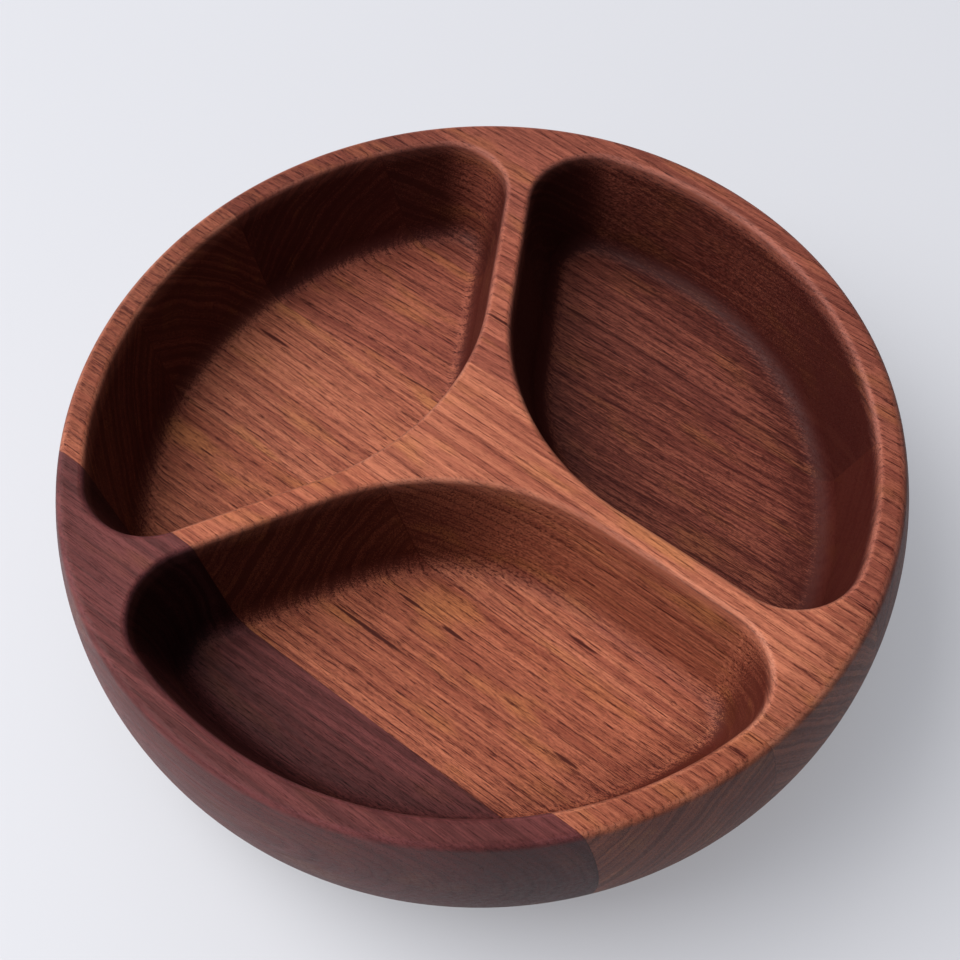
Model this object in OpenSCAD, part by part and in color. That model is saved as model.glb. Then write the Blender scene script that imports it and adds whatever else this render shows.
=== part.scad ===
// Lazy susan: a divided teak tray that turns on a ball-bearing swivel over a small teak base.
// Millimetres. +Z is up, the origin is on the table under the middle of the tray.

/* [Tray] */
// Diameter over the belly of the tray's wall
tray_d = 236; // [225:1:260]
// Height of the tray without its base
tray_h = 44.5; // [44:0.5:52]
// Radius of the barrel curve of the wall, from rim to underside
barrel_r = 82; // [70:1:120]
// How far below the rim the wall is widest
belly_drop = 26; // [22:1:30]
// Radius of the rounding on the rim's outer edge
rim_round = 3; // [1:0.5:4]
// Radius of the rounding round the tray's underside
under_round = 5.5; // [3:0.5:7]

/* [Pockets] */
// Depth of the pockets below the rim
pocket_depth = 33; // [26:0.5:34]
// Width of the ribs between the pockets at the top
rib_w = 6.9; // [5:0.1:9]
// Radius of the pockets' outer wall, from the middle of the tray
pocket_r = 106.8; // [100:0.1:109]
// Radius of the pockets' corners beside the wall
corner_r = 19; // [18:0.5:24]
// Radius of the pockets' corner at the middle of the tray
middle_r = 73; // [60:1:80]
// Radius of the cove between the pockets' walls and floor
cove_r = 7; // [5:0.5:9]
// Slope of the pockets' walls, in degrees from upright
draft = 13; // [8:0.5:15]
// Rounding on the top edges of ribs and wall
edge_round = 2; // [1:0.25:2.5]
// Direction of the middle of the first pocket
pocket_turn = 18.86; // [0:0.01:119]

/* [Boards] */
// Direction of the grain, and of the glue joints
grain_turn = -41.14; // [-180:0.01:180]
// Width of the tray's inner boards
board_w = 44.8; // [42:0.1:47]
// Distance from the middle of the tray to the joint between its first two boards
first_joint = -72.4; // [-78:0.1:-70]
// Distance from the middle of the base to its two glue joints
base_joint = 25; // [20:1:27]

/* [Base] */
// Diameter of the base
base_d = 150; // [146:1:180]
// Thickness of the base
base_h = 14; // [13:0.5:20]
// Rounding on the base's edges
base_round = 3.5; // [2:0.5:5]
// Diameter of the hole that a screwdriver reaches the tray's screws through
access_d = 16; // [12:0.5:16]
// Height of the rubber feet
foot_h = 4; // [3:0.5:8]
// Radius of the rubber feet at the top
foot_r = 8; // [6:0.5:9]
// Distance from the middle of the base to the feet
foot_ring = 60; // [58:1:64]

/* [Swivel] */
// Width of the swivel's square plates
plate_w = 76.2; // [74:0.1:80]
// Height of the swivel over both plates
swivel_h = 8; // [8:0.1:9]
// Thickness of the sheet steel
sheet_t = 1; // [0.8:0.05:1]
// Distance between the screw holes along one side
hole_pitch = 62; // [60:0.5:64]
// Radius of the circle that the balls run on
race_r = 28; // [27:0.5:29]
// Diameter of the balls
ball_d = 4.76; // [4.6:0.02:4.8]
// Number of balls
ball_count = 16; // [12:1:18]
// Gap between a ball and its races
ball_gap = 0.06; // [0.04:0.01:0.1]

/* [Screws] */
// Diameter of the wood screws' shanks
screw_d = 3.5; // [3:0.1:4]
// Diameter of the wood screws' heads
head_d = 6.6; // [6:0.1:7.2]
// Height of the wood screws' heads
head_h = 2.1; // [1.8:0.1:2.3]
// Length of the plates' screws under the head
plate_screw_l = 9.5; // [8:0.5:10.5]

/* [Hidden] */
$fn = 96;

// Heights of the stack, from the table up
base_z = foot_h;
swivel_z = base_z + base_h;
ball_z = swivel_z + swivel_h / 2;
tray_z = swivel_z + swivel_h;
rim_z = tray_z + tray_h;

// The wall's barrel curve meets the two roundings at these angles above and below the belly
rim_turn = asin((belly_drop - rim_round) / (barrel_r - rim_round));
under_turn = asin((tray_h - belly_drop - under_round) / (barrel_r - under_round));

// A pocket's section: x is the distance in from the sharp top edge, z the height from the rim
edge_x = -edge_round * (1 - sin(draft)) / cos(draft);
cove_x = (cove_r + (pocket_depth - cove_r) * sin(draft)) / cos(draft);
edge_steps = 4;
pocket_section = concat(
    [[edge_x, 1]],
    arc([edge_x, -edge_round], edge_round, 90, draft, edge_steps),
    arc([cove_x, cove_r - pocket_depth], cove_r, 180 + draft, 270, 7)
);

// A pocket's outline: one wide corner at the middle, two walls, two tight corners and the outer wall
middle_x = (rib_w / 2 + middle_r) / sin(60);
corner_ring = pocket_r - corner_r;
corner_turn = 60 - asin((rib_w / 2 + corner_r) / corner_ring);

// The swivel's section, measured from the plane of the balls
ball_r = ball_d / 2;
groove_r = ball_r + ball_gap;
race_z = -1.6;
race_turn = acos(-race_z / groove_r);
race_in = race_r - 6;
race_out = race_r + 5;
lip_r = race_r - 9;
flange_r = race_out + 3;
eyelet_r = lip_r - 0.3;
eyelet_t = 0.8;
eyelet_lip = eyelet_r + 2.8;
eyelet_gap = 0.15;
cage_t = 1;
cage_half = 3.4;

hole_ring = hole_pitch / sqrt(2);
access_ring = plate_w / 2 + access_d / 2 + 0.4;
clearance = 0.05;
rubber = [0.09, 0.09, 0.09];
zinc = [0.72, 0.73, 0.74];
steel = [0.62, 0.64, 0.66];
teak = [[0.35, 0.17, 0.13], [0.60, 0.31, 0.19], [0.64, 0.34, 0.20], [0.58, 0.29, 0.18], [0.55, 0.28, 0.18]];

function arc(centre, r, from, to, steps) =
    [for (i = [0:steps]) centre + r * [cos(from + (to - from) * i / steps), sin(from + (to - from) * i / steps)]];

function without_last(points) = [for (i = [0:len(points) - 2]) points[i]];

function polar(r, turn) = [r * cos(turn), r * sin(turn)];

// Outline of a pocket whose middle is on +X, moved in by inset all round
function pocket_outline(inset) = concat(
    arc([middle_x, 0], middle_r - inset, 150, 210, 8),
    without_last(arc(polar(corner_ring, -corner_turn), corner_r - inset, -150, -corner_turn, 9)),
    without_last(arc([0, 0], pocket_r - inset, -corner_turn, corner_turn, 18)),
    arc(polar(corner_ring, corner_turn), corner_r - inset, corner_turn, 150, 9)
);

// A thin slice of a pocket at one point of its section, just over that point's height
module pocket_slice(p) {
    translate([0, 0, rim_z + p.y])
        linear_extrude(0.05)
            polygon(pocket_outline(p.x));
}

// The space of one pocket: its flare through the rounded edge, then its wall, cove and floor
module pocket() {
    for (k = [0:edge_steps])
        hull()
            for (p = [pocket_section[k], pocket_section[k + 1]])
                pocket_slice(p);
    hull()
        for (k = [edge_steps + 1:len(pocket_section) - 1])
            pocket_slice(pocket_section[k]);
}

// The turned tray before its pockets are routed
module tray_blank() {
    barrel = [tray_d / 2 - barrel_r, rim_z - belly_drop];
    rotate_extrude()
        polygon(concat(
            [[0, tray_z]],
            without_last(arc(barrel + polar(barrel_r - under_round, -under_turn),
                under_round, -90, -under_turn, 6)),
            without_last(arc(barrel, barrel_r, -under_turn, 0, 6)),
            without_last(arc(barrel, barrel_r, 0, rim_turn, 8)),
            arc(barrel + polar(barrel_r - rim_round, rim_turn), rim_round, rim_turn, 90, 6),
            [[0, rim_z]]
        ));
}

// The stretch of a round blank between two glue joints
module board(from, to, bottom, top) {
    rotate([0, 0, grain_turn])
        translate([-tray_d, from, bottom])
            cube([2 * tray_d, to - from, top - bottom]);
}

// Places its children at the four screw holes of a plate that is turned by turn from the grain
module at_corners(ring, turn) {
    for (k = [0:3])
        rotate([0, 0, grain_turn + turn + 90 * k])
            translate([ring, 0, 0])
                children();
}

module tray_stave(i) {
    from = i == 1 ? -tray_d : first_joint + (i - 2) * board_w;
    to = i == 5 ? tray_d : first_joint + (i - 1) * board_w;
    color(teak[i - 1])
        difference() {
            intersection() {
                tray_blank();
                board(from, to, tray_z - 1, rim_z + 1);
            }
            for (k = [0:2])
                rotate([0, 0, pocket_turn + 120 * k])
                    pocket();
            at_corners(hole_ring, 0)
                translate([0, 0, tray_z - 1])
                    cylinder(h = plate_screw_l - sheet_t + 1.5, d = screw_d + 2 * clearance);
        }
}

// A pan-head screw pointing down, with its head resting on z = 0
module screw(shank_l) {
    recess = 0.9;
    tip_l = 2.5;
    difference() {
        rotate_extrude()
            polygon(concat(
                [[0, -shank_l], [screw_d / 2, tip_l - shank_l], [screw_d / 2, 0], [head_d / 2, 0],
                 [head_d / 2, head_h * 0.35]],
                arc([head_d / 2 - head_h * 0.65, head_h * 0.35], head_h * 0.65, 15, 90, 5),
                [[0, head_h]]
            ));
        for (turn = [0, 90])
            rotate([0, 0, turn])
                translate([0, 0, head_h])
                    cube([head_d * 0.55, recess, 2.4], center = true);
    }
}

// The lower plate about the plane of the balls: a square flange and a pressed ring that holds the race
module swivel_plate() {
    flange_z = -swivel_h / 2 + sheet_t;
    top = concat(
        [[lip_r, race_z], [race_in, race_z]],
        arc([race_r, 0], groove_r, 270 - race_turn, 270 + race_turn, 8),
        [[race_out, race_z], [race_out + 1.8, flange_z], [flange_r + 1, flange_z]]
    );
    half = plate_w / 2;
    corner = 6;
    difference() {
        union() {
            rotate_extrude()
                polygon(concat(top, [for (i = [len(top) - 1:-1:0]) top[i] - [0, sheet_t]]));
            translate([0, 0, -swivel_h / 2])
                linear_extrude(sheet_t)
                    difference() {
                        polygon([for (k = [0:3]) each arc(
                            polar((half - corner) * sqrt(2), 45 + 90 * k), corner, 90 * k, 90 * k + 90, 6)]);
                        circle(flange_r);
                    }
        }
        for (k = [0:3])
            rotate([0, 0, 45 + 90 * k])
                translate([hole_ring, 0, -swivel_h])
                    cylinder(h = swivel_h, d = screw_d + 0.9);
    }
}

module swivel_lower_plate() {
    color(zinc)
        translate([0, 0, ball_z])
            rotate([0, 0, grain_turn])
                swivel_plate();
}

module swivel_upper_plate() {
    color(zinc)
        translate([0, 0, ball_z])
            rotate([0, 0, grain_turn + 45])
                mirror([0, 0, 1])
                    swivel_plate();
}

// The rolled tube that keeps the plates together: its top lip lies on the upper plate,
// its lower lip is rolled out under the lower plate with a little play
module swivel_eyelet() {
    lip_top = -race_z + sheet_t;
    lip_low = race_z - sheet_t - eyelet_gap;
    color(steel)
        translate([0, 0, ball_z])
            rotate_extrude()
                polygon([
                    [eyelet_r - eyelet_t, lip_low - eyelet_t], [eyelet_lip, lip_low - eyelet_t],
                    [eyelet_lip, lip_low], [eyelet_r, lip_low],
                    [eyelet_r, lip_top], [eyelet_lip, lip_top],
                    [eyelet_lip, lip_top + eyelet_t], [eyelet_r - eyelet_t, lip_top + eyelet_t]
                ]);
}

module upper_plate_screws() {
    color(steel)
        at_corners(hole_ring, 0)
            translate([0, 0, tray_z - sheet_t])
                rotate([180, 0, 0])
                    screw(plate_screw_l);
}

module lower_plate_screws() {
    color(steel)
        at_corners(hole_ring, 45)
            translate([0, 0, swivel_z + sheet_t])
                screw(plate_screw_l);
}

module at_balls() {
    for (k = [0:ball_count - 1])
        rotate([0, 0, 360 * k / ball_count])
            translate([race_r, 0, ball_z])
                children();
}

module bearing_balls() {
    color(steel)
        at_balls()
            sphere(ball_r);
}

module ball_cage() {
    color([0.78, 0.68, 0.42])
        difference() {
            translate([0, 0, ball_z - cage_t / 2])
                cylinder(h = cage_t, r = race_r + cage_half);
            translate([0, 0, ball_z - cage_t])
                cylinder(h = 2 * cage_t, r = race_r - cage_half);
            at_balls()
                translate([0, 0, -cage_t])
                    cylinder(h = 2 * cage_t, r = ball_r + 0.08);
        }
}

// The turned base before it is drilled
module base_blank() {
    r = base_d / 2;
    rotate_extrude()
        polygon(concat(
            [[0, base_z], [r - base_round, base_z]],
            arc([r - base_round, base_z + base_round], base_round, -90, 0, 6),
            arc([r - base_round, swivel_z - base_round], base_round, 0, 90, 6),
            [[0, swivel_z]]
        ));
}

module base_stave(i) {
    from = [-base_d, -base_joint, base_joint][i - 1];
    to = [-base_joint, base_joint, base_d][i - 1];
    pilot_l = 9;
    color(teak[i])
        difference() {
            intersection() {
                base_blank();
                board(from, to, base_z - 1, swivel_z + 1);
            }
            at_corners(hole_ring, 45)
                translate([0, 0, swivel_z - pilot_l])
                    cylinder(h = pilot_l + 1, d = screw_d + 2 * clearance);
            at_corners(foot_ring, 45)
                translate([0, 0, base_z - 1])
                    cylinder(h = pilot_l + 1, d = screw_d + 2 * clearance);
            rotate([0, 0, grain_turn + 90])
                translate([access_ring, 0, base_z - 1])
                    cylinder(h = base_h + 2, d = access_d);
        }
}

// A rubber foot with a countersunk well for its screw
module foot(i) {
    well_r = head_d / 2 + 0.4;
    well_h = head_h + 0.6;
    color(rubber)
        rotate([0, 0, grain_turn + 45 + 90 * (i - 1)])
            translate([foot_ring, 0, 0])
                rotate_extrude()
                    polygon(concat(
                        [[well_r, 0], [foot_r - 2, 0]],
                        arc([foot_r - 2, 0.8], 0.8, -75, -10, 3),
                        [[foot_r, foot_h - 0.6], [foot_r - 0.4, foot_h], [screw_d / 2 + clearance, foot_h],
                         [screw_d / 2 + clearance, well_h], [well_r, well_h]]
                    ));
}

module foot_screws() {
    well_h = head_h + 0.6;
    color(steel)
        at_corners(foot_ring, 45)
            translate([0, 0, well_h])
                rotate([180, 0, 0])
                    screw(plate_screw_l);
}

for (i = [1:5])
    tray_stave(i);
swivel_upper_plate();
swivel_eyelet();
upper_plate_screws();
bearing_balls();
ball_cage();
swivel_lower_plate();
lower_plate_screws();
for (i = [1:3])
    base_stave(i);
for (i = [1:4])
    foot(i);
foot_screws();
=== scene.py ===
from math import acos, asin, cos, degrees, hypot, pi, radians, sin, sqrt

import bmesh
import bpy
from mathutils import Matrix, Vector


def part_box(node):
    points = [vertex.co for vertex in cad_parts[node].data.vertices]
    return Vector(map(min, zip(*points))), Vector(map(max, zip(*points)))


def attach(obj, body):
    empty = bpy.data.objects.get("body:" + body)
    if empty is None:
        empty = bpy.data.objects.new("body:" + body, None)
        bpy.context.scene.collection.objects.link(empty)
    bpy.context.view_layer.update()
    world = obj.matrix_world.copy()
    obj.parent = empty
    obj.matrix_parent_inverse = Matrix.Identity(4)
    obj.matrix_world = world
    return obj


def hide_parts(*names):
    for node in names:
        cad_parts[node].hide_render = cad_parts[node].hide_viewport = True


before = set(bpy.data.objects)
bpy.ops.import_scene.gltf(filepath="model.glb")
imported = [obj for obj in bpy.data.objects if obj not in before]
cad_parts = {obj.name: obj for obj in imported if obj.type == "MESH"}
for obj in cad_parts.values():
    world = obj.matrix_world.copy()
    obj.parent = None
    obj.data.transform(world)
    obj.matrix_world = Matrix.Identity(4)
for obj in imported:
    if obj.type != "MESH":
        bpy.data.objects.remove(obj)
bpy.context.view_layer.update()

MM = 0.001


# ---------------------------------------------------------------- table, camera and light
# The turntable stands on a plain white table that glows a little, so that shadows stay pale.
# Soft daylight falls on it from the left, and the white room gives back some of it.
TABLE_WHITE = (0.33, 0.333, 0.348, 1)
TABLE_GLOW = 0.26
TABLE_GLOW_COLOUR = (0.955, 0.965, 1.0, 1)
TABLE_SIZE = 9
DAYLIGHT = (1.0, 0.985, 0.965)


def add(tree, kind, sockets=None, **settings):
    """Adds a shader node. sockets gives its inputs, as values or as other nodes' outputs."""
    node = tree.nodes.new("ShaderNode" + kind)
    for setting, value in settings.items():
        setattr(node, setting, value)
    for key, value in (sockets or {}).items():
        if isinstance(value, bpy.types.NodeSocket):
            tree.links.new(value, node.inputs[key])
        else:
            node.inputs[key].default_value = value
    return node


def new_finish(name, colour, roughness, metallic=0.0):
    """A material, with its node tree and its shader."""
    finish = bpy.data.materials.new(name)
    finish.use_nodes = True
    shader = finish.node_tree.nodes["Principled BSDF"]
    shader.inputs["Base Color"].default_value = colour
    shader.inputs["Roughness"].default_value = roughness
    shader.inputs["Metallic"].default_value = metallic
    return finish, finish.node_tree, shader


table_finish, _, table_shader = new_finish("white_table", TABLE_WHITE, 0.55)
table_shader.inputs["Emission Color"].default_value = TABLE_GLOW_COLOUR
table_shader.inputs["Emission Strength"].default_value = TABLE_GLOW
bpy.ops.mesh.primitive_plane_add(size=TABLE_SIZE)
table = bpy.context.object
table.name = "table"
table.data.materials.append(table_finish)

# The camera looks down at the front of the tray, and is tipped a little to the left.
RIM_CENTRE = Vector((-0.0003, -0.01474, 0.0705))
VIEW_DISTANCE = 0.394
VIEW_HEIGHT = radians(58.98)
VIEW_TIP = radians(-3.55)
camera = bpy.data.objects.new("camera", bpy.data.cameras.new("camera"))
camera.data.lens = 55.76
camera.data.sensor_width = 36
camera.matrix_world = (
    Matrix.Translation(RIM_CENTRE)
    @ Matrix.Rotation(pi / 2 - VIEW_HEIGHT, 4, "X")
    @ Matrix.Rotation(VIEW_TIP, 4, "Z")
    @ Matrix.Translation((0, 0, VIEW_DISTANCE))
)
bpy.context.collection.objects.link(camera)
bpy.context.scene.camera = camera


def soft_light(name, turn, height, distance, size, power, colour=DAYLIGHT):
    """A square soft light, at that turn from +X and height over the table, in degrees."""
    light = bpy.data.lights.new(name, "AREA")
    light.size = size
    light.energy = power
    light.color = colour
    lamp = bpy.data.objects.new(name, light)
    lamp.matrix_world = (
        Matrix.Translation((0, 0, 0.05))
        @ Matrix.Rotation(radians(turn + 90), 4, "Z")
        @ Matrix.Rotation(radians(90 - height), 4, "X")
        @ Matrix.Translation((0, 0, distance))
    )
    bpy.context.collection.objects.link(lamp)


soft_light("window", 165, 50, 5.0, 4.4, 300)

# The room is bright overhead and towards the window, and dim on the far side.
WINDOW_WAY = (-0.50, 0.12, 0.86)
ROOM_DIM = 0.07
ROOM_BRIGHT = 0.80
room = bpy.data.worlds.new("room")
room.use_nodes = True
room_tree = room.node_tree
way = add(room_tree, "TexCoord").outputs["Generated"]
facing_window = add(room_tree, "VectorMath", {0: way, 1: WINDOW_WAY}, operation="DOT_PRODUCT")
glow = {"Value": facing_window.outputs["Value"], "From Min": 0.1, "From Max": 1.0}
glow.update({"To Min": ROOM_DIM, "To Max": ROOM_BRIGHT})
glow = add(room_tree, "MapRange", glow, interpolation_type="SMOOTHSTEP").outputs[0]
backdrop = room_tree.nodes["Background"]
backdrop.inputs["Color"].default_value = (0.86, 0.89, 1.0, 1)
room_tree.links.new(glow, backdrop.inputs["Strength"])
bpy.context.scene.world = room
bpy.context.scene.view_settings.view_transform = "Standard"
bpy.context.scene.view_settings.look = "Medium High Contrast"


# ---------------------------------------------------------------- rubber feet
# Four turned black rubber feet under the base, each with a groove round its sole and a
# stepped well for the head of the screw that holds it.
GRAIN_TURN = -41.14
FOOT_RING = 60
FOOT_R = 8
FOOT_WELL_R = 3.7
FOOT_WELL_H = 2.7
SCREW_HOLE_R = 1.8
SHARP_ANGLE = 32


def span(node):
    """A CAD node's lowest and highest corner, in millimetres."""
    return [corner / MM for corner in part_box(node)]


def arc(x, y, radius, start, stop, steps):
    """Points along an arc about (x, y), from start to stop in degrees."""
    turns = [radians(start + (stop - start) * k / steps) for k in range(steps + 1)]
    return [(x + radius * cos(turn), y + radius * sin(turn)) for turn in turns]


def bridge(bm, loop, other):
    """Faces between two loops of corners. A loop of one corner is a point on the axis."""
    count = max(len(loop), len(other))
    for i in range(count):
        corners = [loop[i % len(loop)], loop[(i + 1) % count % len(loop)],
                   other[(i + 1) % count % len(other)], other[i % len(other)]]
        bm.faces.new(list(dict.fromkeys(corners)))


def loop_at(bm, outline, height):
    """The corners of a flat outline in millimetres, at a height."""
    return [bm.verts.new((x * MM, y * MM, height * MM)) for x, y in outline]


def turned(profile, sides, ring=False):
    """A turned piece from (radius, height) points. ring joins the last point to the first."""
    bm = bmesh.new()
    loops = []
    for radius, height in profile:
        outline = arc(0, 0, radius, 0, 360, sides)[:-1] if radius > 0 else [(0, 0)]
        loops.append(loop_at(bm, outline, height))
    for loop, other in zip(loops, loops[1:] + loops[:1] if ring else loops[1:]):
        bridge(bm, loop, other)
    return bm


def copies(bm, places):
    """The same piece at each of these places."""
    one = bpy.data.meshes.new("one")
    bm.to_mesh(one)
    bm.free()
    group = bmesh.new()
    for place in places:
        fresh = len(group.verts)
        group.from_mesh(one)
        group.verts.ensure_lookup_table()
        bmesh.ops.transform(group, matrix=place, verts=group.verts[fresh:])
    bpy.data.meshes.remove(one)
    return group


def piece(name, bm, body, slot, finish, *nodes, bevel=0.0):
    """Makes a piece that rides on a body and stands for CAD nodes. bevel is in mm."""
    sharp = radians(SHARP_ANGLE)
    bmesh.ops.recalc_face_normals(bm, faces=bm.faces)
    for face in bm.faces:
        face.smooth = True
    for edge in bm.edges:
        edge.smooth = edge.smooth and edge.calc_face_angle(0) < sharp
    mesh = bpy.data.meshes.new(name)
    bm.to_mesh(mesh)
    bm.free()
    mesh.materials.append(finish)
    made = bpy.data.objects.new(name, mesh)
    bpy.context.collection.objects.link(made)
    if bevel:
        soften = made.modifiers.new("soft_edges", "BEVEL")
        soften.width = bevel * MM
        soften.segments = 2
        soften.angle_limit = sharp
    even = made.modifiers.new("even_shading", "WEIGHTED_NORMAL")
    even.keep_sharp = True
    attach(made, body)
    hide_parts(*nodes)
    return made


def at_ring(radius, turn, height, flip=False):
    """The place at that radius and turn round the middle. flip stands the piece on its head."""
    place = Matrix.Rotation(radians(turn), 4, "Z") @ Matrix.Translation((radius * MM, 0, height * MM))
    return place @ Matrix.Rotation(pi, 4, "X") if flip else place


def math(tree, operation, *values):
    """One sum on shader values."""
    return add(tree, "Math", dict(enumerate(values)), operation=operation).outputs[0]


def fit(tree, value, low, high, to_low=0.0, to_high=1.0):
    """value from low..high to to_low..to_high, eased and held at both ends."""
    sockets = {"Value": value, "From Min": low, "From Max": high, "To Min": to_low, "To Max": to_high}
    return add(tree, "MapRange", sockets, interpolation_type="SMOOTHSTEP").outputs[0]


def total(tree, *values):
    """Several shader values added up."""
    added = values[0]
    for value in values[1:]:
        added = math(tree, "ADD", added, value)
    return added


def product(tree, *values):
    """Several shader values multiplied."""
    multiplied = values[0]
    for value in values[1:]:
        multiplied = math(tree, "MULTIPLY", multiplied, value)
    return multiplied


def blend(tree, amount, under, over):
    """The colour over laid on the colour under, by amount."""
    return add(tree, "Mix", {0: amount, 6: under, 7: over}, data_type="RGBA").outputs[2]


def grain(tree, place, size, detail=2.0, roughness=0.5):
    """Noise whose spots have that size in mm along, across and up."""
    scaled = add(tree, "Mapping", {"Vector": place, "Scale": [1 / s for s in size]})
    sockets = {"Vector": scaled.outputs[0], "Scale": 1.0, "Detail": detail, "Roughness": roughness}
    return add(tree, "TexNoise", sockets).outputs[0]


def in_mm(tree, turn=0.0):
    """The place on the piece in millimetres, turned so that its first axis points along turn."""
    here = add(tree, "TexCoord").outputs["Object"]
    sockets = {"Vector": here, "Rotation": (0, 0, radians(-turn)), "Scale": (1 / MM, 1 / MM, 1 / MM)}
    return add(tree, "Mapping", sockets).outputs[0]


def relief(tree, shader, height, depth):
    """Bump from a height of 0 to 1, depth in mm."""
    sockets = {"Height": height, "Strength": 1.0, "Distance": depth * MM}
    bump = add(tree, "Bump", sockets)
    tree.links.new(bump.outputs[0], shader.inputs["Normal"])


def rubber_finish():
    """Black rubber with a little grey dust on it."""
    black = (0.016, 0.016, 0.017, 1)
    dusty = (0.06, 0.058, 0.055, 1)
    finish, tree, shader = new_finish("rubber", black, 0.6)
    place = in_mm(tree)
    dust = fit(tree, grain(tree, place, (3, 3, 1.5), 4), 0.5, 0.75)
    tree.links.new(blend(tree, dust, black, dusty), shader.inputs["Base Color"])
    skin = grain(tree, place, (0.25, 0.25, 0.25), 3)
    tree.links.new(fit(tree, skin, 0.3, 0.7, 0.5, 0.75), shader.inputs["Roughness"])
    relief(tree, shader, skin, 0.03)
    return finish


foot_h = span("foot_1")[1].z
foot_profile = (
    [(FOOT_WELL_R + 0.3, 0), (4.7, 0), (4.85, 0.35), (5.25, 0.35), (5.4, 0), (6, 0)]
    + arc(6, 0.8, 0.8, -80, -15, 5)
    + [(FOOT_R, foot_h - 0.7)] + arc(FOOT_R - 0.4, foot_h - 0.4, 0.4, 10, 90, 3)
    + [(SCREW_HOLE_R, foot_h), (SCREW_HOLE_R, FOOT_WELL_H), (FOOT_WELL_R, FOOT_WELL_H), (FOOT_WELL_R, 0.3)]
)
rubber = rubber_finish()
for k in range(4):
    foot = copies(turned(foot_profile, 64, ring=True), [at_ring(FOOT_RING, GRAIN_TURN + 45 + 90 * k, 0)])
    piece(f"rubber_foot_{k + 1}", foot, "base", "rubber", rubber, f"foot_{k + 1}")


# ---------------------------------------------------------------- base boards
# Three teak boards, glued edge to edge, turned to a disc, rounded over and oiled. A hole lets
# a screwdriver through to the tray's screws. Blind holes take the plate's and the feet's screws.
BASE_JOINTS = (-25, 25)
BASE_R = 75
BASE_ROUND = 3.5
PLATE_HOLE_RING = 62 / sqrt(2)
ACCESS_R = 8
ACCESS_RING = 46.5
PILOT_L = 9
RING_GAP = 1.7
RING_SWAY = 7.0
RING_WOBBLE = 1.1
RIM_REACH = (101.0, 109.0)


def bore(bm, radius, ring, turn, mouth, end, through=False):
    """A hole from the flat at mouth to end. A through hole opens in the flat at end too."""
    x, y = (at_ring(ring, turn, 0).translation / MM).xy
    loops = [loop_at(bm, arc(x, y, radius, 0, 360, 40)[:-1], height) for height in (mouth, end)]
    bridge(bm, *loops)
    if not through:
        bm.faces.new(loops[1])


def close_flat(bm, height):
    """Fills the flat at that height between its open edges."""
    level = height * MM
    edges = []
    for edge in bm.edges:
        if edge.is_boundary and all(abs(corner.co.z - level) < 1e-7 for corner in edge.verts):
            edges.append(edge)
    bmesh.ops.triangle_fill(bm, use_beauty=True, edges=edges)


def sawn(blank, joints):
    """The boards that a blank is glued from, each a closed piece."""
    across = Vector((-sin(radians(GRAIN_TURN)), cos(radians(GRAIN_TURN)), 0))
    parts = []
    for low, high in zip((None, *joints), (*joints, None)):
        part = blank.copy()
        for joint, side in ((low, -across), (high, across)):
            if joint is None:
                continue
            everything = part.verts[:] + part.edges[:] + part.faces[:]
            cut = bmesh.ops.bisect_plane(
                part, geom=everything, dist=1e-7,
                plane_co=across * joint * MM, plane_no=side, clear_outer=True,
            )
            edges = [e for e in cut["geom_cut"] if isinstance(e, bmesh.types.BMEdge)]
            bmesh.ops.triangle_fill(part, use_beauty=True, edges=edges, normal=side)
            for edge in edges:
                edge.smooth = False
        parts.append(part)
    blank.free()
    return parts


def apart(tree, x, y):
    """The length of a line x across and y up."""
    return math(tree, "SQRT", total(tree, product(tree, x, x), product(tree, y, y)))


def wave(tree, value, scale, detail=2.0):
    """Uneven waves along a value."""
    sockets = {"W": product(tree, value, scale), "Scale": 1.0, "Detail": detail}
    return add(tree, "TexNoise", sockets, noise_dimensions="1D").outputs[0]


def growth_rings(tree, own, board, pith):
    """The pale early wood of each year's ring, and the broad bands of paler and deeper years."""
    along, across, up = board
    pith_across = math(tree, "MULTIPLY_ADD", along, pith[2], pith[0])
    aside = math(tree, "SUBTRACT", across, pith_across)
    above = math(tree, "SUBTRACT", up, pith[1])
    from_pith = apart(tree, aside, above)
    sway = product(tree, grain(tree, own, (190, 30, 30)), RING_SWAY)
    wobble = product(tree, grain(tree, own, (45, 5, 5)), RING_WOBBLE)
    ring = total(tree, from_pith, sway, wobble)
    count = math(tree, "MULTIPLY_ADD", wave(tree, ring, 0.13), 3.0, math(tree, "DIVIDE", ring, RING_GAP))
    year = math(tree, "FRACT", count)
    early = product(tree, fit(tree, year, 0.05, 0.42, 1.0, 0.0), fit(tree, year, 0.0, 0.08))
    return early, wave(tree, ring, 0.45, 4.0)


def end_grain_and_rim_shade(tree, board, facing):
    """How far the wood is cut across its grain on its faces, and the rim darkened towards the grain's
    ends, most at the end towards the window light: partly end grain, partly painted shade.
    """
    along, across, _ = board
    run = (cos(radians(GRAIN_TURN)), sin(radians(GRAIN_TURN)), 0)
    cut = add(tree, "VectorMath", {0: facing, 1: run}, operation="DOT_PRODUCT").outputs["Value"]
    cut = fit(tree, math(tree, "ABSOLUTE", cut), 0.15, 0.90)
    reach = apart(tree, along, across)
    # The rim is darkened towards both ends of the grain, most at the end towards the window light: partly
    # end grain, partly painted shade.
    outward = math(tree, "DIVIDE", along, reach)
    far_end = fit(tree, outward, -0.6, -1.0, 0.2, 0.8)
    near_end = fit(tree, outward, 0.7, 1.0, 0.0, 0.22)
    rim_grain_and_shade = product(tree, total(tree, far_end, near_end), fit(tree, reach, *RIM_REACH))
    return math(tree, "MAXIMUM", cut, rim_grain_and_shade)


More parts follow.
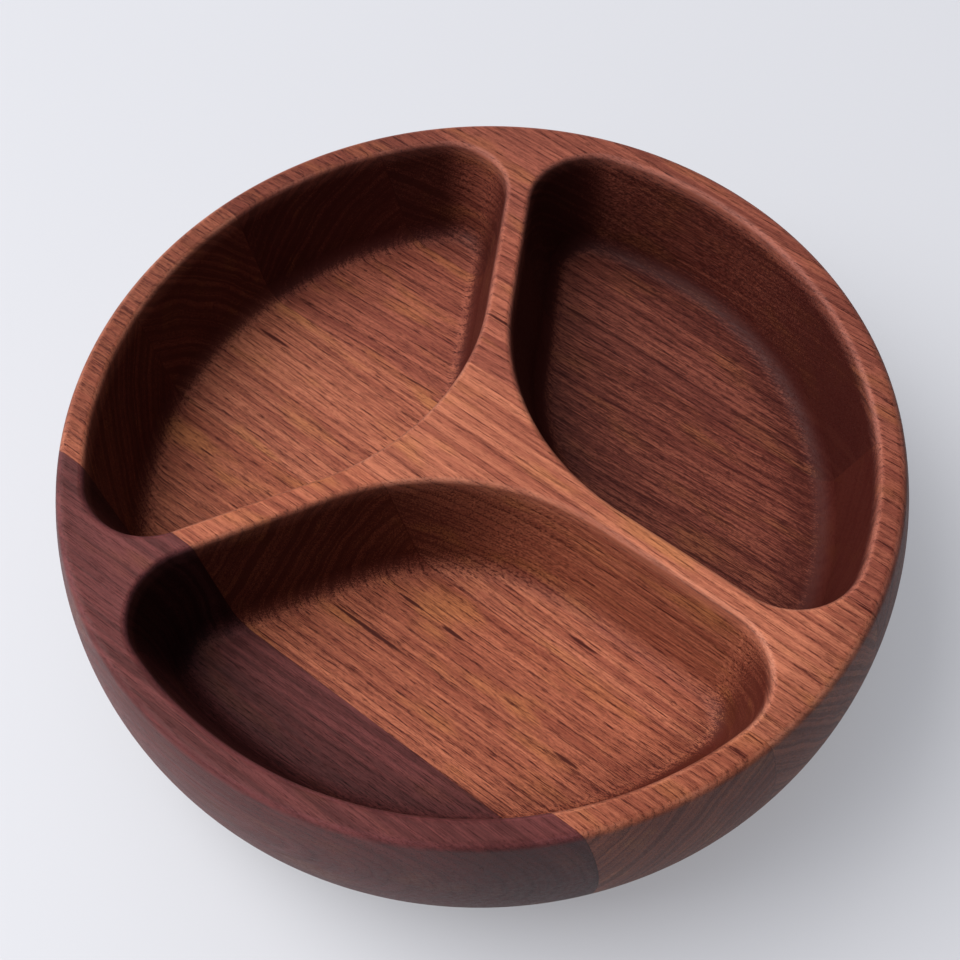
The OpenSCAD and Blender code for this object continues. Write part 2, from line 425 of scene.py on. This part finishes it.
def pocket_shade(tree, board, tilt, fade):
    """Painted shade in a pocket: darker in its coves and on the floor by the outer wall, and darker
    towards one end along the grain, where it is partly the board's own colour and partly painted shade.
    """
    along, across, _ = board
    cove_shade = product(tree, fit(tree, tilt, 0.995, 0.80), fit(tree, tilt, 0.1, 0.5, 0.3, 1.0))
    wall_shade = product(
        tree,
        fit(tree, apart(tree, along, across), 82.0, 96.0, 0.0, 0.24),
        fit(tree, along, -70.0, -10.0, 0.1, 1.0),
        fit(tree, tilt, 0.3, 0.9, 0.4, 1.0),
    )
    start, stop, amount = fade
    tone_and_shade_along_grain = fit(tree, along, start, stop, 0.04, 0.04 + amount)
    return total(tree, wall_shade, tone_and_shade_along_grain, product(tree, cove_shade, 0.20 + 0.4 * amount))


def dark_marks(tree, board, fibre, joints, streaks):
    """The thin glue lines, and ragged dark streaks at (along, across, half length, half width)."""
    along, across, _ = board
    marks = []
    for joint in joints:
        line = math(tree, "ABSOLUTE", math(tree, "SUBTRACT", across, joint))
        marks.append(fit(tree, line, 0.06, 0.2, 0.2, 0.0))
    for mark_along, mark_across, half_l, half_w in streaks:
        far = math(tree, "DIVIDE", math(tree, "SUBTRACT", along, mark_along), half_l)
        wide = math(tree, "DIVIDE", math(tree, "SUBTRACT", across, mark_across), half_w)
        ragged = total(tree, product(tree, far, far), product(tree, wide, wide), product(tree, fibre, 1.2))
        marks.append(fit(tree, ragged, 0.7, 1.7, 0.85, 0.0))
    return total(tree, *marks)


def teak_finish(name, pale, deep, pith, seed, joints, figure=1.0, fade=(0, 1, 0), streaks=(), top=None):
    """Oiled teak between two colours. pith is the middle of the board's growth rings, as (across, up,
    lean), and seed sets its figure apart from the other boards'. figure is how strong the grain shows,
    fade is where along the grain the pockets darken and by how much (from, to, amount), and top is the
    height of a tray's rim, whose rounded edges are painted pale, partly as wear and partly as a painted
    highlight, and below which the pockets get painted shade."""
    finish, tree, shader = new_finish(name, pale, 0.5)
    place = in_mm(tree, GRAIN_TURN)
    away = (seed * 371, seed * 53, seed * 29)
    own = add(tree, "VectorMath", {0: place, 1: away}, operation="ADD").outputs[0]
    board = add(tree, "SeparateXYZ", {0: place}).outputs[:3]
    along, across, up = board
    facing = add(tree, "TexCoord").outputs["Normal"]
    tilt = add(tree, "SeparateXYZ", {0: facing}).outputs[2]
    early, band = growth_rings(tree, own, board, pith)
    end = end_grain_and_rim_shade(tree, board, facing)

    # Fibres and open pores run along the grain.
    fibre = grain(tree, own, (60, 0.9, 0.9), 4, 0.7)
    hair = grain(tree, own, (8, 0.24, 0.24), 3, 0.7)
    speck = grain(tree, own, (0.9, 0.2, 0.2), 2, 0.6)
    pore = grain(tree, own, (5, 0.25, 0.25), 1, 0.4)
    pore = fit(tree, math(tree, "MULTIPLY_ADD", early, 0.06, pore), 0.60, 0.68)
    cloud = grain(tree, own, (90, 14, 14), 3, 0.55)

    # The wood itself wanders between its two colours, with honey patches.
    tone = total(tree, product(tree, band, 0.35), product(tree, cloud, 0.25), product(tree, fibre, 0.40))
    colour = blend(tree, fit(tree, tone, 0.40, 0.60), deep, pale)
    honey = (pale[0] * 0.98, pale[1] * 1.08, pale[2] * 0.80, 1)
    patch = fit(tree, grain(tree, own, (30, 9, 9)), 0.52, 0.75, 0.0, 0.8)
    colour = blend(tree, patch, colour, honey)

    # Oil darkens the early wood, the pores and most of all the end grain. The same dark colour also paints
    # shade on the rim towards the grain's ends and in the pockets.
    # inside is 1 in a tray's pockets, and 0 on its rim and its outer wall.
    inside = 1.0
    if top:
        reach = apart(tree, along, across)
        inside = product(tree, fit(tree, up, top - 1.5, top - 6.0), fit(tree, reach, 108.0, 106.0))
    bold = 0.5 + 0.5 * figure
    lines = product(tree, early, fit(tree, hair, 0.35, 0.62, 0.06, 0.44),
                    fit(tree, end, 0.2, 1.0, figure, figure * 0.4))
    fine = total(tree, product(tree, pore, 0.40), fit(tree, hair, 0.40, 0.68, 0.0, 0.42),
                 fit(tree, speck, 0.42, 0.72, 0.0, 0.34))
    fine = product(tree, fine, fit(tree, inside, 0.0, 1.0, 0.70 * bold, bold))
    soaked = product(tree, end, fit(tree, band, 0.35, 0.65, 0.34, 0.67))
    marks = dark_marks(tree, board, fibre, joints, streaks)
    shade = total(tree, lines, fine, 0.03, soaked, marks)
    if top:
        # The pockets get painted shade: darker coves, a darker floor by the outer wall, and a darkening
        # along the grain that is partly the board's own colour.
        shade = total(tree, shade, product(tree, pocket_shade(tree, board, tilt, fade), inside))
        # The outer wall keeps a soft shine. The top and the pockets are dull.
        dull = math(tree, "MAXIMUM", inside, fit(tree, tilt, 0.3, 0.9))
        tree.links.new(fit(tree, dull, 0.0, 1.0, 0.50, 0.14), shader.inputs["Specular IOR Level"])
    # This dark colour carries the oil's darkening and the painted shade alike.
    oiled_and_shaded = (deep[0] * 0.15, deep[1] * 0.07, deep[2] * 0.09, 1)
    colour = blend(tree, math(tree, "MINIMUM", shade, 0.93), colour, oiled_and_shaded)

    # The rounded edges of the rim and ribs are painted pale: partly wear, partly a painted highlight.
    if top:
        worn_and_highlit = product(
            tree,
            fit(tree, up, top - 2.4, top - 0.4),
            fit(tree, tilt, 0.86, 0.995, 1.0, 0.0),
            fit(tree, speck, 0.35, 0.65, 0.05, 0.38),
            fit(tree, cloud, 0.4, 0.6, 0.45, 1.0),
        )
        worn_and_highlit_colour = (pale[0] * 1.25, pale[1] * 1.6, pale[2] * 1.9, 1)
        colour = blend(tree, worn_and_highlit, colour, worn_and_highlit_colour)
    tree.links.new(colour, shader.inputs["Base Color"])
    tree.links.new(fit(tree, fibre, 0.3, 0.7, 0.46, 0.62), shader.inputs["Roughness"])
    skin = total(tree, product(tree, hair, 0.35), product(tree, fibre, 0.3), product(tree, pore, -0.5))
    relief(tree, shader, skin, 0.08)
    return finish


base_low, base_high = span("base_stave_2")
side = BASE_R - BASE_ROUND
base_profile = (
    arc(side, base_low.z + BASE_ROUND, BASE_ROUND, -90, 0, 8)
    + arc(side, base_high.z - BASE_ROUND, BASE_ROUND, 0, 90, 8)
)
base = turned(base_profile, 256)
for k in range(4):
    corner_turn = GRAIN_TURN + 45 + 90 * k
    bore(base, SCREW_HOLE_R, PLATE_HOLE_RING, corner_turn, base_high.z, base_high.z - PILOT_L)
    bore(base, SCREW_HOLE_R, FOOT_RING, corner_turn, base_low.z, base_low.z + PILOT_L)
bore(base, ACCESS_R, ACCESS_RING, GRAIN_TURN + 90, base_low.z, base_high.z, through=True)
close_flat(base, base_low.z)
close_flat(base, base_high.z)
base_teak = [
    teak_finish("base_teak_1", (0.42, 0.148, 0.082, 1), (0.27, 0.086, 0.050, 1), (-20, -70, 0.04), 11,
                BASE_JOINTS),
    teak_finish("base_teak_2", (0.47, 0.168, 0.090, 1), (0.30, 0.096, 0.054, 1), (14, -95, -0.03), 12,
                BASE_JOINTS),
    teak_finish("base_teak_3", (0.40, 0.138, 0.078, 1), (0.26, 0.082, 0.048, 1), (60, -60, 0.05), 13,
                BASE_JOINTS),
]
for k, board in enumerate(sawn(base, BASE_JOINTS)):
    piece(f"base_board_{k + 1}", board, "base", "base_teak", base_teak[k], f"base_stave_{k + 1}")


# ---------------------------------------------------------------- foot screws
# Pan-head steel wood screws with a cross recess, one up through each foot into the base.
SCREW_R = 1.75
SCREW_CORE_R = 1.3
SCREW_L = 9.5
THREAD = 1.3
HEAD_R = 3.3
HEAD_H = 2.1


def cut_away(bm, tool):
    """bm with the tool's shape cut out of it."""
    made = []
    for source in (bm, tool):
        bmesh.ops.recalc_face_normals(source, faces=source.faces)
        mesh = bpy.data.meshes.new("cut")
        source.to_mesh(mesh)
        source.free()
        made.append(bpy.data.objects.new("cut", mesh))
        bpy.context.collection.objects.link(made[-1])
    cut = made[0].modifiers.new("cut", "BOOLEAN")
    cut.object = made[1]
    cut.operation = "DIFFERENCE"
    cut.solver = "EXACT"
    result = bmesh.new()
    result.from_object(made[0], bpy.context.evaluated_depsgraph_get())
    for source in made:
        mesh = source.data
        bpy.data.objects.remove(source)
        bpy.data.meshes.remove(mesh)
    return result


def wood_screw():
    """A pan-head wood screw that points down, with the head's seat at height 0."""
    ridges = int((SCREW_L - 3) / THREAD)
    shank = [(0, -SCREW_L), (0.25, -SCREW_L + 0.2), (SCREW_CORE_R, -SCREW_L + 2.5)]
    for k in range(ridges):
        foot_of_ridge = -SCREW_L + 2.7 + k * THREAD
        shank += [(SCREW_CORE_R, foot_of_ridge), (SCREW_R, foot_of_ridge + 0.45),
                  (SCREW_R, foot_of_ridge + 0.6), (SCREW_CORE_R, foot_of_ridge + 1.0)]
    dome = 0.65 * HEAD_H
    head = [(SCREW_R, -0.4), (SCREW_R, 0), (HEAD_R - 0.15, 0), (HEAD_R, 0.15)]
    head += arc(HEAD_R - dome, HEAD_H - dome, dome, 5, 90, 8) + [(0, HEAD_H)]
    screw = turned(shank + head, 40)
    for turn in (0, 90):
        slot = bmesh.new()
        loops = [
            loop_at(slot, [(-long, -wide), (long, -wide), (long, wide), (-long, wide)], height)
            for long, wide, height in ((1.0, 0.3, HEAD_H - 1.2), (1.9, 0.5, HEAD_H + 0.1))
        ]
        bridge(slot, *loops)
        slot.faces.new(loops[0])
        slot.faces.new(loops[1])
        bmesh.ops.transform(slot, matrix=Matrix.Rotation(radians(turn), 4, "Z"), verts=slot.verts)
        screw = cut_away(screw, slot)
    return screw


def metal_finish(name, light, dull, roughness, mottle=6.0, scratch=0.02):
    """Bare or plated steel, mottled between two colours. mottle and scratch are in mm."""
    finish, tree, shader = new_finish(name, light, roughness, metallic=1.0)
    place = in_mm(tree)
    cloud = grain(tree, place, (mottle, mottle, mottle), 4, 0.6)
    tree.links.new(blend(tree, fit(tree, cloud, 0.35, 0.7), light, dull), shader.inputs["Base Color"])
    rub = grain(tree, place, (0.35, 2.6, 0.5), 3, 0.6)
    rough = fit(tree, rub, 0.3, 0.7, roughness - 0.07, roughness + 0.1)
    tree.links.new(rough, shader.inputs["Roughness"])
    relief(tree, shader, rub, scratch)
    return finish


screw_steel = metal_finish("screw_steel", (0.62, 0.62, 0.63, 1), (0.40, 0.39, 0.38, 1), 0.28, 1.5)
feet_screws = [at_ring(FOOT_RING, GRAIN_TURN + 45 + 90 * k, FOOT_WELL_H, flip=True) for k in range(4)]
piece("screws_in_feet", copies(wood_screw(), feet_screws), "base", "screw_steel", screw_steel,
      "foot_screws")


# ---------------------------------------------------------------- lower plate
# A square of zinc-plated sheet steel with a pressed ring for the balls, screwed to the base.
SHEET = 1.0
LIP_R = 19
RACE_R = 28
RACE_IN = 22
RACE_OUT = 33
RACE_DROP = 1.6
GROOVE_R = 2.44
FLANGE_R = 36
PLATE_W = 76.2
CORNER_R = 6
PLATE_HOLE_R = 2.2

plate_low = span("swivel_lower_plate")[0]
ball_z = (plate_low.z + span("swivel_upper_plate")[1].z) / 2
plate_half = PLATE_W / 2
flange_z = plate_low.z - ball_z + SHEET


def fill_between(bm, loops):
    """Fills the flat face between closed loops of corners."""
    loop_of = {corner: k for k, loop in enumerate(loops) for corner in loop}
    edges = []
    for edge in bm.edges:
        first, last = edge.verts
        if first in loop_of and loop_of[first] == loop_of.get(last):
            edges.append(edge)
    bmesh.ops.triangle_fill(bm, use_beauty=True, edges=edges)


def pressed_plate():
    """The lower plate about the balls' plane and with its sides along X and Y."""
    bend = degrees(acos(RACE_DROP / GROOVE_R))
    profile = (
        [(LIP_R, -RACE_DROP), (RACE_IN, -RACE_DROP)]
        + arc(RACE_R, 0, GROOVE_R, 270 - bend, 270 + bend, 12)
        + [(RACE_OUT, -RACE_DROP), (RACE_OUT + 1.8, flange_z), (FLANGE_R, flange_z)]
    )
    square = []
    holes = []
    reach = (plate_half - CORNER_R) * sqrt(2)
    for k in range(4):
        turn = radians(45 + 90 * k)
        square += arc(reach * cos(turn), reach * sin(turn), CORNER_R, 90 * k, 90 * k + 90, 10)
        hole_x, hole_y = PLATE_HOLE_RING * cos(turn), PLATE_HOLE_RING * sin(turn)
        holes.append(arc(hole_x, hole_y, PLATE_HOLE_R, 0, 360, 32)[:-1])
    bm = bmesh.new()
    skins = []
    for drop in (0, SHEET):
        rings = []
        for radius, height in profile:
            rings.append(loop_at(bm, arc(0, 0, radius, 0, 360, 128)[:-1], height - drop))
        for ring, other in zip(rings, rings[1:]):
            bridge(bm, ring, other)
        flat = [loop_at(bm, outline, flange_z - drop) for outline in [square] + holes]
        skins.append((rings, flat))
    (upper_rings, upper_flat), (lower_rings, lower_flat) = skins
    bridge(bm, upper_rings[0], lower_rings[0])
    for upper, lower in zip(upper_flat, lower_flat):
        bridge(bm, upper, lower)
    fill_between(bm, [upper_rings[-1]] + upper_flat)
    fill_between(bm, [lower_rings[-1]] + lower_flat)
    return bm


zinc = metal_finish("zinc_plate", (0.66, 0.67, 0.70, 1), (0.50, 0.51, 0.53, 1), 0.34, 9, 0.03)
on_balls = Matrix.Translation((0, 0, ball_z * MM))
lower_plate = pressed_plate()
lower_turn = on_balls @ Matrix.Rotation(radians(GRAIN_TURN), 4, "Z")
bmesh.ops.transform(lower_plate, matrix=lower_turn, verts=lower_plate.verts)
piece("lower_swivel_plate", lower_plate, "base", "zinc_plate", zinc, "swivel_lower_plate", bevel=0.2)

# Four more of the same screws hold the plate down.
lower_screws = [at_ring(PLATE_HOLE_RING, GRAIN_TURN + 45 + 90 * k, plate_low.z + SHEET) for k in range(4)]
piece("screws_in_base", copies(wood_screw(), lower_screws), "base", "screw_steel", screw_steel,
      "lower_plate_screws")


# ---------------------------------------------------------------- balls and cage
# Sixteen polished steel balls roll between the plates, kept apart by a punched ring of
# yellow-passivated steel.
BALL_R = 2.38
BALL_COUNT = 16
CAGE_HALF_W = 3.4
CAGE_HALF_T = 0.5
CAGE_PLAY = 0.08

ball = bmesh.new()
bmesh.ops.create_uvsphere(ball, u_segments=32, v_segments=20, radius=BALL_R * MM)
ball_places = [at_ring(RACE_R, 360 * k / BALL_COUNT, ball_z) for k in range(BALL_COUNT)]
polished = metal_finish("bright_steel", (0.72, 0.72, 0.73, 1), (0.60, 0.60, 0.61, 1), 0.12, 4, 0.002)
piece("steel_balls", copies(ball, ball_places), "ball_ring", "bright_steel", polished, "bearing_balls")

cage = bmesh.new()
cage_edges = (RACE_R - CAGE_HALF_W, RACE_R + CAGE_HALF_W)
cage_outlines = [arc(0, 0, radius, 0, 360, 128)[:-1] for radius in cage_edges]
for place in ball_places:
    x, y = (place.translation / MM).xy
    cage_outlines.append(arc(x, y, BALL_R + CAGE_PLAY, 0, 360, 32)[:-1])
cage_skins = []
for height in (ball_z + CAGE_HALF_T, ball_z - CAGE_HALF_T):
    cage_skins.append([loop_at(cage, outline, height) for outline in cage_outlines])
for upper, lower in zip(*cage_skins):
    bridge(cage, upper, lower)
for skin in cage_skins:
    fill_between(cage, skin)
passivated = metal_finish("cage_steel", (0.62, 0.50, 0.27, 1), (0.46, 0.40, 0.30, 1), 0.36, 3, 0.01)
piece("ball_cage_ring", cage, "ball_ring", "cage_steel", passivated, "ball_cage", bevel=0.12)


# ---------------------------------------------------------------- upper plate and eyelet
# The upper plate is the lower one upside down, an eighth of a turn on. A rolled eyelet
# holds the two together, and four screws hold the upper plate to the tray.
EYELET_R = 18.7
EYELET_T = 0.8
EYELET_LIP = 21.5
EYELET_PLAY = 0.15

upper_plate = pressed_plate()
upper_turn = on_balls @ Matrix.Rotation(radians(GRAIN_TURN + 45), 4, "Z") @ Matrix.Scale(-1, 4, (0, 0, 1))
bmesh.ops.transform(upper_plate, matrix=upper_turn, verts=upper_plate.verts)
piece("upper_swivel_plate", upper_plate, "tray", "zinc_plate", zinc, "swivel_upper_plate", bevel=0.2)

lip_top = ball_z + RACE_DROP + SHEET
lip_low = ball_z - RACE_DROP - SHEET - EYELET_PLAY
eyelet_profile = [
    (EYELET_R - EYELET_T, lip_low - EYELET_T), (EYELET_LIP, lip_low - EYELET_T), (EYELET_LIP, lip_low),
    (EYELET_R, lip_low), (EYELET_R, lip_top), (EYELET_LIP, lip_top),
    (EYELET_LIP, lip_top + EYELET_T), (EYELET_R - EYELET_T, lip_top + EYELET_T),
]
piece("rolled_eyelet", turned(eyelet_profile, 128, ring=True), "tray", "bright_steel", polished,
      "swivel_eyelet", bevel=0.25)

tray_low, tray_high = span("tray_stave_3")
upper_seat = tray_low.z - SHEET
upper_screws = [at_ring(PLATE_HOLE_RING, GRAIN_TURN + 90 * k, upper_seat, flip=True) for k in range(4)]
piece("screws_in_tray", copies(wood_screw(), upper_screws), "tray", "screw_steel", screw_steel,
      "upper_plate_screws")


# ---------------------------------------------------------------- tray boards
# Five teak boards, glued edge to edge and turned to a barrel-sided disc, with three pockets
# routed into the top. The first board is much darker than the rest. All are sanded and oiled.
TRAY_R = 118
BARREL_R = 82
BELLY_DROP = 26
RIM_ROUND = 3
UNDER_ROUND = 5.5
POCKET_DEPTH = 33
RIB_W = 6.9
POCKET_R = 106.8
CORNER_ROUND = 19
MIDDLE_ROUND = 73
COVE = 7
DRAFT = 13
EDGE_ROUND = 2
POCKET_TURN = 18.86
TRAY_JOINTS = (-72.4, -27.6, 17.2, 62.0)

rim_z = tray_high.z
belly_z = rim_z - BELLY_DROP
barrel_x = TRAY_R - BARREL_R


def meeting(radius, round_r, reach):
    """The turn at which the barrel curve meets a rounding that ends reach above or below the belly."""
    return degrees(asin((reach - round_r) / (radius - round_r)))


def on_barrel(round_r, turn):
    """The middle of a rounding that touches the barrel curve at that turn."""
    reach = BARREL_R - round_r
    return barrel_x + reach * cos(radians(turn)), belly_z + reach * sin(radians(turn))


rim_turn = meeting(BARREL_R, RIM_ROUND, BELLY_DROP)
under_turn = meeting(BARREL_R, UNDER_ROUND, belly_z - tray_low.z)
wall_profile = (
    arc(*on_barrel(UNDER_ROUND, -under_turn), UNDER_ROUND, -90, -under_turn, 10)[:-1]
    + arc(barrel_x, belly_z, BARREL_R, -under_turn, 0, 8)[:-1]
    + arc(barrel_x, belly_z, BARREL_R, 0, rim_turn, 10)[:-1]
    + arc(*on_barrel(RIM_ROUND, rim_turn), RIM_ROUND, rim_turn, 90, 10)
)


def with_between(outline, steps):
    """The closed outline with its two long straight walls divided."""
    points = []
    for (x, y), (next_x, next_y) in zip(outline, outline[1:] + outline[:1]):
        parts = steps if hypot(next_x - x, next_y - y) > 12 else 1
        points += [(x + (next_x - x) * k / parts, y + (next_y - y) * k / parts) for k in range(parts)]
    return points


def pocket_outline(inset):
    """A pocket about +X, moved in by inset all round: the wide corner at the middle of the tray,
    a straight wall on each side, two tighter corners and the long curve inside the rim."""
    corner_ring = POCKET_R - CORNER_ROUND
    corner_turn = 60 - degrees(asin((RIB_W / 2 + CORNER_ROUND) / corner_ring))
    corner_x, corner_y = corner_ring * cos(radians(corner_turn)), corner_ring * sin(radians(corner_turn))
    middle_x = (RIB_W / 2 + MIDDLE_ROUND) / sin(radians(60))
    return with_between(
        arc(middle_x, 0, MIDDLE_ROUND - inset, 150, 210, 40)
        + arc(corner_x, -corner_y, CORNER_ROUND - inset, -150, -corner_turn, 28)[:-1]
        + arc(0, 0, POCKET_R - inset, -corner_turn, corner_turn, 60)[:-1]
        + arc(corner_x, corner_y, CORNER_ROUND - inset, corner_turn, 150, 28),
        14,
    )


def rout_pocket(bm, turn):
    """Adds a pocket's rounded edge, sloping wall, cove and floor."""
    slope = radians(DRAFT)
    edge_x = -EDGE_ROUND * (1 - sin(slope)) / cos(slope)
    cove_x = (COVE + (POCKET_DEPTH - COVE) * sin(slope)) / cos(slope)
    section = (
        arc(edge_x, -EDGE_ROUND, EDGE_ROUND, 90, DRAFT, 8)
        + arc(cove_x, COVE - POCKET_DEPTH, COVE, 180 + DRAFT, 270, 14)
    )
    loops = [loop_at(bm, pocket_outline(inset), rim_z + height) for inset, height in section]
    for loop, other in zip(loops, loops[1:]):
        bridge(bm, loop, other)
    bm.faces.new(loops[-1])
    corners = [v for loop in loops for v in loop]
    bmesh.ops.transform(bm, matrix=Matrix.Rotation(radians(turn), 4, "Z"), verts=corners)


tray = turned(wall_profile, 288)
for k in range(3):
    rout_pocket(tray, POCKET_TURN + 120 * k)
for k in range(4):
    bore(tray, SCREW_HOLE_R, PLATE_HOLE_RING, GRAIN_TURN + 90 * k, tray_low.z, tray_low.z + PILOT_L)
close_flat(tray, tray_low.z)
close_flat(tray, rim_z)

OPEN_JOINT = (110.5, 17.2, 4, 0.35)
tray_teak = [
    teak_finish("dark_teak", (0.195, 0.061, 0.056, 1), (0.108, 0.033, 0.030, 1), (-128, 55, 0.05), 1,
                TRAY_JOINTS, figure=0.4, top=rim_z),
    teak_finish("teak_2", (0.51, 0.180, 0.100, 1), (0.32, 0.098, 0.056, 1), (60, -40, 0.03), 2,
                TRAY_JOINTS, top=rim_z,
                streaks=((2, -52.5, 15, 0.6), (5.7, -38.8, 5, 0.6),
                         (20.7, -39.4, 4.5, 0.6), (67, -50, 5, 0.6))),
    teak_finish("teak_3", (0.55, 0.206, 0.118, 1), (0.35, 0.114, 0.068, 1), (-110, -30, -0.03), 3,
                TRAY_JOINTS, top=rim_z, streaks=((-86, 5.6, 7, 0.6), (51, -20.5, 6, 0.5), OPEN_JOINT)),
    teak_finish("teak_4", (0.44, 0.150, 0.092, 1), (0.27, 0.082, 0.053, 1), (130, -50, 0.04), 4,
                TRAY_JOINTS, top=rim_z, fade=(-42, 0, 0.34), streaks=((-17, 33.6, 8, 0.5), OPEN_JOINT)),
    teak_finish("teak_5", (0.37, 0.124, 0.080, 1), (0.22, 0.067, 0.045, 1), (-40, -60, -0.04), 5,
                TRAY_JOINTS, top=rim_z, fade=(-45, -5, 0.22)),
]
for k, board in enumerate(sawn(tray, TRAY_JOINTS)):
    slot = "dark_teak" if k == 0 else "teak"
    piece(f"tray_board_{k + 1}", board, "tray", slot, tray_teak[k], f"tray_stave_{k + 1}")
